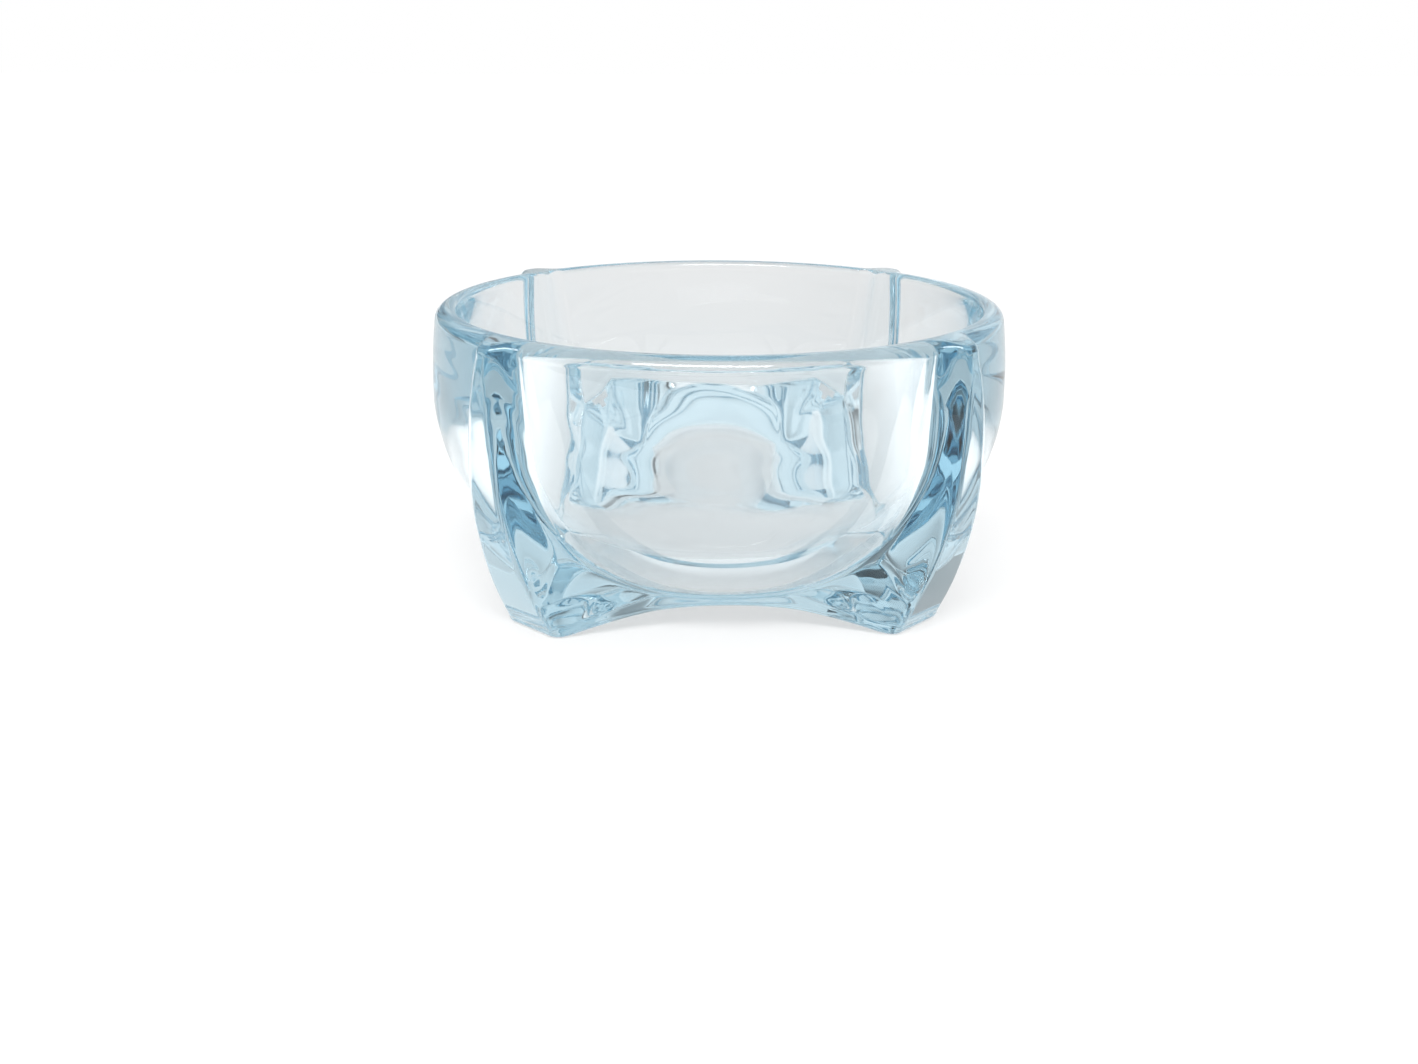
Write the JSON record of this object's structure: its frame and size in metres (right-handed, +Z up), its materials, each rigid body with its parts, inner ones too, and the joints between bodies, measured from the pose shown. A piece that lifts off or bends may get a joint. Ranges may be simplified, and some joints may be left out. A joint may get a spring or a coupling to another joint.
{
  "type": "salt cellar",
  "caption": "Open salt cellar in pale ice-blue pressed glass: a round bowl between corner ribs that run down into feet, with an arch on each side.",
  "frame": {"origin": "on the table, under the middle of the bowl", "axes": "+Z up along the bowl's axis; X and Y each point at the middle of a side panel, and the ribs and feet stand on the diagonals"},
  "size_m": [0.07, 0.07, 0.0342],
  "materials": {
    "ice_blue_glass": "clear pressed glass with a pale ice-blue body colour, fire-polished and glossy"
  },
  "bodies": {
    "root": {"glass_body": "ice_blue_glass"}
  },
  "joints": []
}
